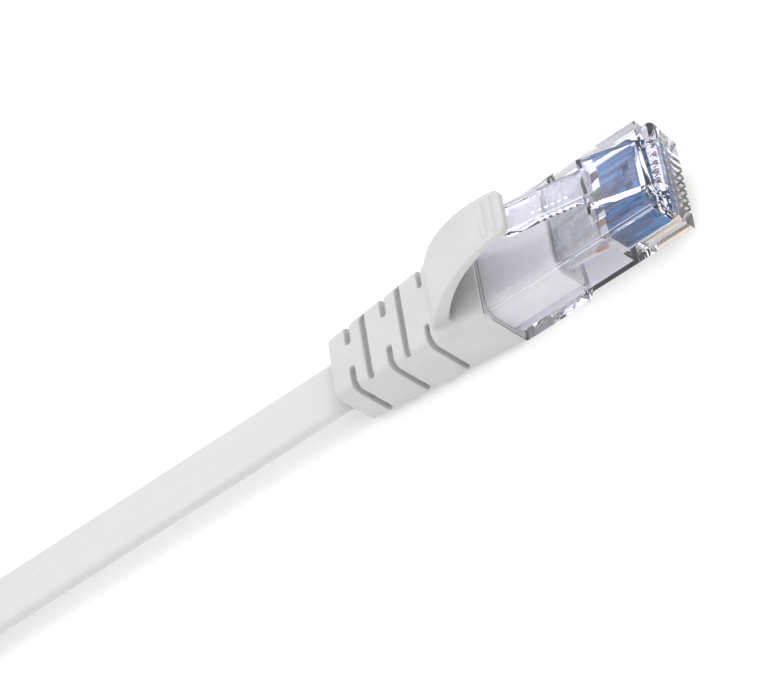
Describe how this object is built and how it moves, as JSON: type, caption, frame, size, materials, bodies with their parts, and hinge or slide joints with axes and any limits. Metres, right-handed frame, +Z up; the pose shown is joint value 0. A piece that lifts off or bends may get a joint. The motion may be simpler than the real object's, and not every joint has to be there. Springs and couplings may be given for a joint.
{
  "type": "ethernet patch cable",
  "caption": "Flat ethernet patch cable with a clear latching modular plug and a hooded, grooved strain-relief boot on each end, its spare length wound into a tied hank.",
  "frame": {"origin": "bottom centre of the near plug and boot, on the surface they lie on", "axes": "+X along the near plug towards its nose, +Z up through its latch, +Y towards the hank's far side"},
  "size_m": [0.2652, 0.0565, 0.0137],
  "materials": {
    "clear_plastic": "clear moulded polycarbonate, polished",
    "cloudy_plastic": "cloudy moulded polycarbonate",
    "blue_plastic": "smooth translucent moulding",
    "contact_gold": "gold-plated blades",
    "sleeve": "soft moulded filler",
    "cord_jacket": "satin extruded jacket",
    "boot": "soft satin moulding",
    "wire_orange": "smooth insulation",
    "wire_green": "smooth insulation",
    "wire_blue": "smooth insulation",
    "wire_brown": "smooth insulation",
    "tie": "woven hook-and-loop strap"
  },
  "bodies": {
    "cable": {"near_plug_body": "clear_plastic", "near_load_bar": "blue_plastic", "near_contacts": "contact_gold", "near_conductor_clamp": "cloudy_plastic", "near_jacket_clamp": "clear_plastic", "near_jacket_sleeve": "sleeve", "near_jacket_end": "cord_jacket", "near_boot": "boot", "near_orange_pair": "wire_orange", "near_green_pair": "wire_green", "near_blue_pair": "wire_blue", "near_brown_pair": "wire_brown", "far_plug_body": "clear_plastic", "far_load_bar": "blue_plastic", "far_contacts": "contact_gold", "far_conductor_clamp": "cloudy_plastic", "far_jacket_clamp": "clear_plastic", "far_jacket_sleeve": "sleeve", "far_jacket_end": "cord_jacket", "far_boot": "boot", "far_orange_pair": "wire_orange", "far_green_pair": "wire_green", "far_blue_pair": "wire_blue", "far_brown_pair": "wire_brown", "near_cord": "cord_jacket", "cord_twist": "cord_jacket", "cord_hank": "cord_jacket", "far_cord": "cord_jacket", "hank_tie_right": "tie", "hank_tie_left": "tie"},
    "near_latch": {"near_latch": "clear_plastic"},
    "near_hood": {"near_hood": "boot"},
    "far_latch": {"far_latch": "clear_plastic"},
    "far_hood": {"far_hood": "boot"}
  },
  "joints": [
    {"name": "near_hood_hinge", "type": "hinge", "parent": "cable", "child": "near_hood", "pos_m": [-0.0068, 0, 0.0069], "axis": [0, 1, 0], "range_deg": [0, 13], "stiffness_Nm_per_rad": 0.1},
    {"name": "near_latch_hinge", "type": "hinge", "parent": "cable", "child": "near_latch", "pos_m": [0.02145, 0, 0.0059], "axis": [0, -1, 0], "range_deg": [0, 10], "stiffness_Nm_per_rad": 0.00005, "springref_deg": -8.59},
    {"name": "far_hood_hinge", "type": "hinge", "parent": "cable", "child": "far_hood", "pos_m": [-0.2058, 0.0334, 0.006], "axis": [0, 0, 1], "range_deg": [0, 13], "stiffness_Nm_per_rad": 0.1},
    {"name": "far_latch_hinge", "type": "hinge", "parent": "cable", "child": "far_latch", "pos_m": [-0.23405, 0.0324, 0.006], "axis": [0, 0, -1], "range_deg": [0, 10], "stiffness_Nm_per_rad": 0.00005, "springref_deg": -8.59}
  ],
  "couplings": [
    {"joint": "near_latch_hinge", "follows": "near_hood_hinge", "ratio": 0.7692},
    {"joint": "far_latch_hinge", "follows": "far_hood_hinge", "ratio": 0.7692}
  ]
}
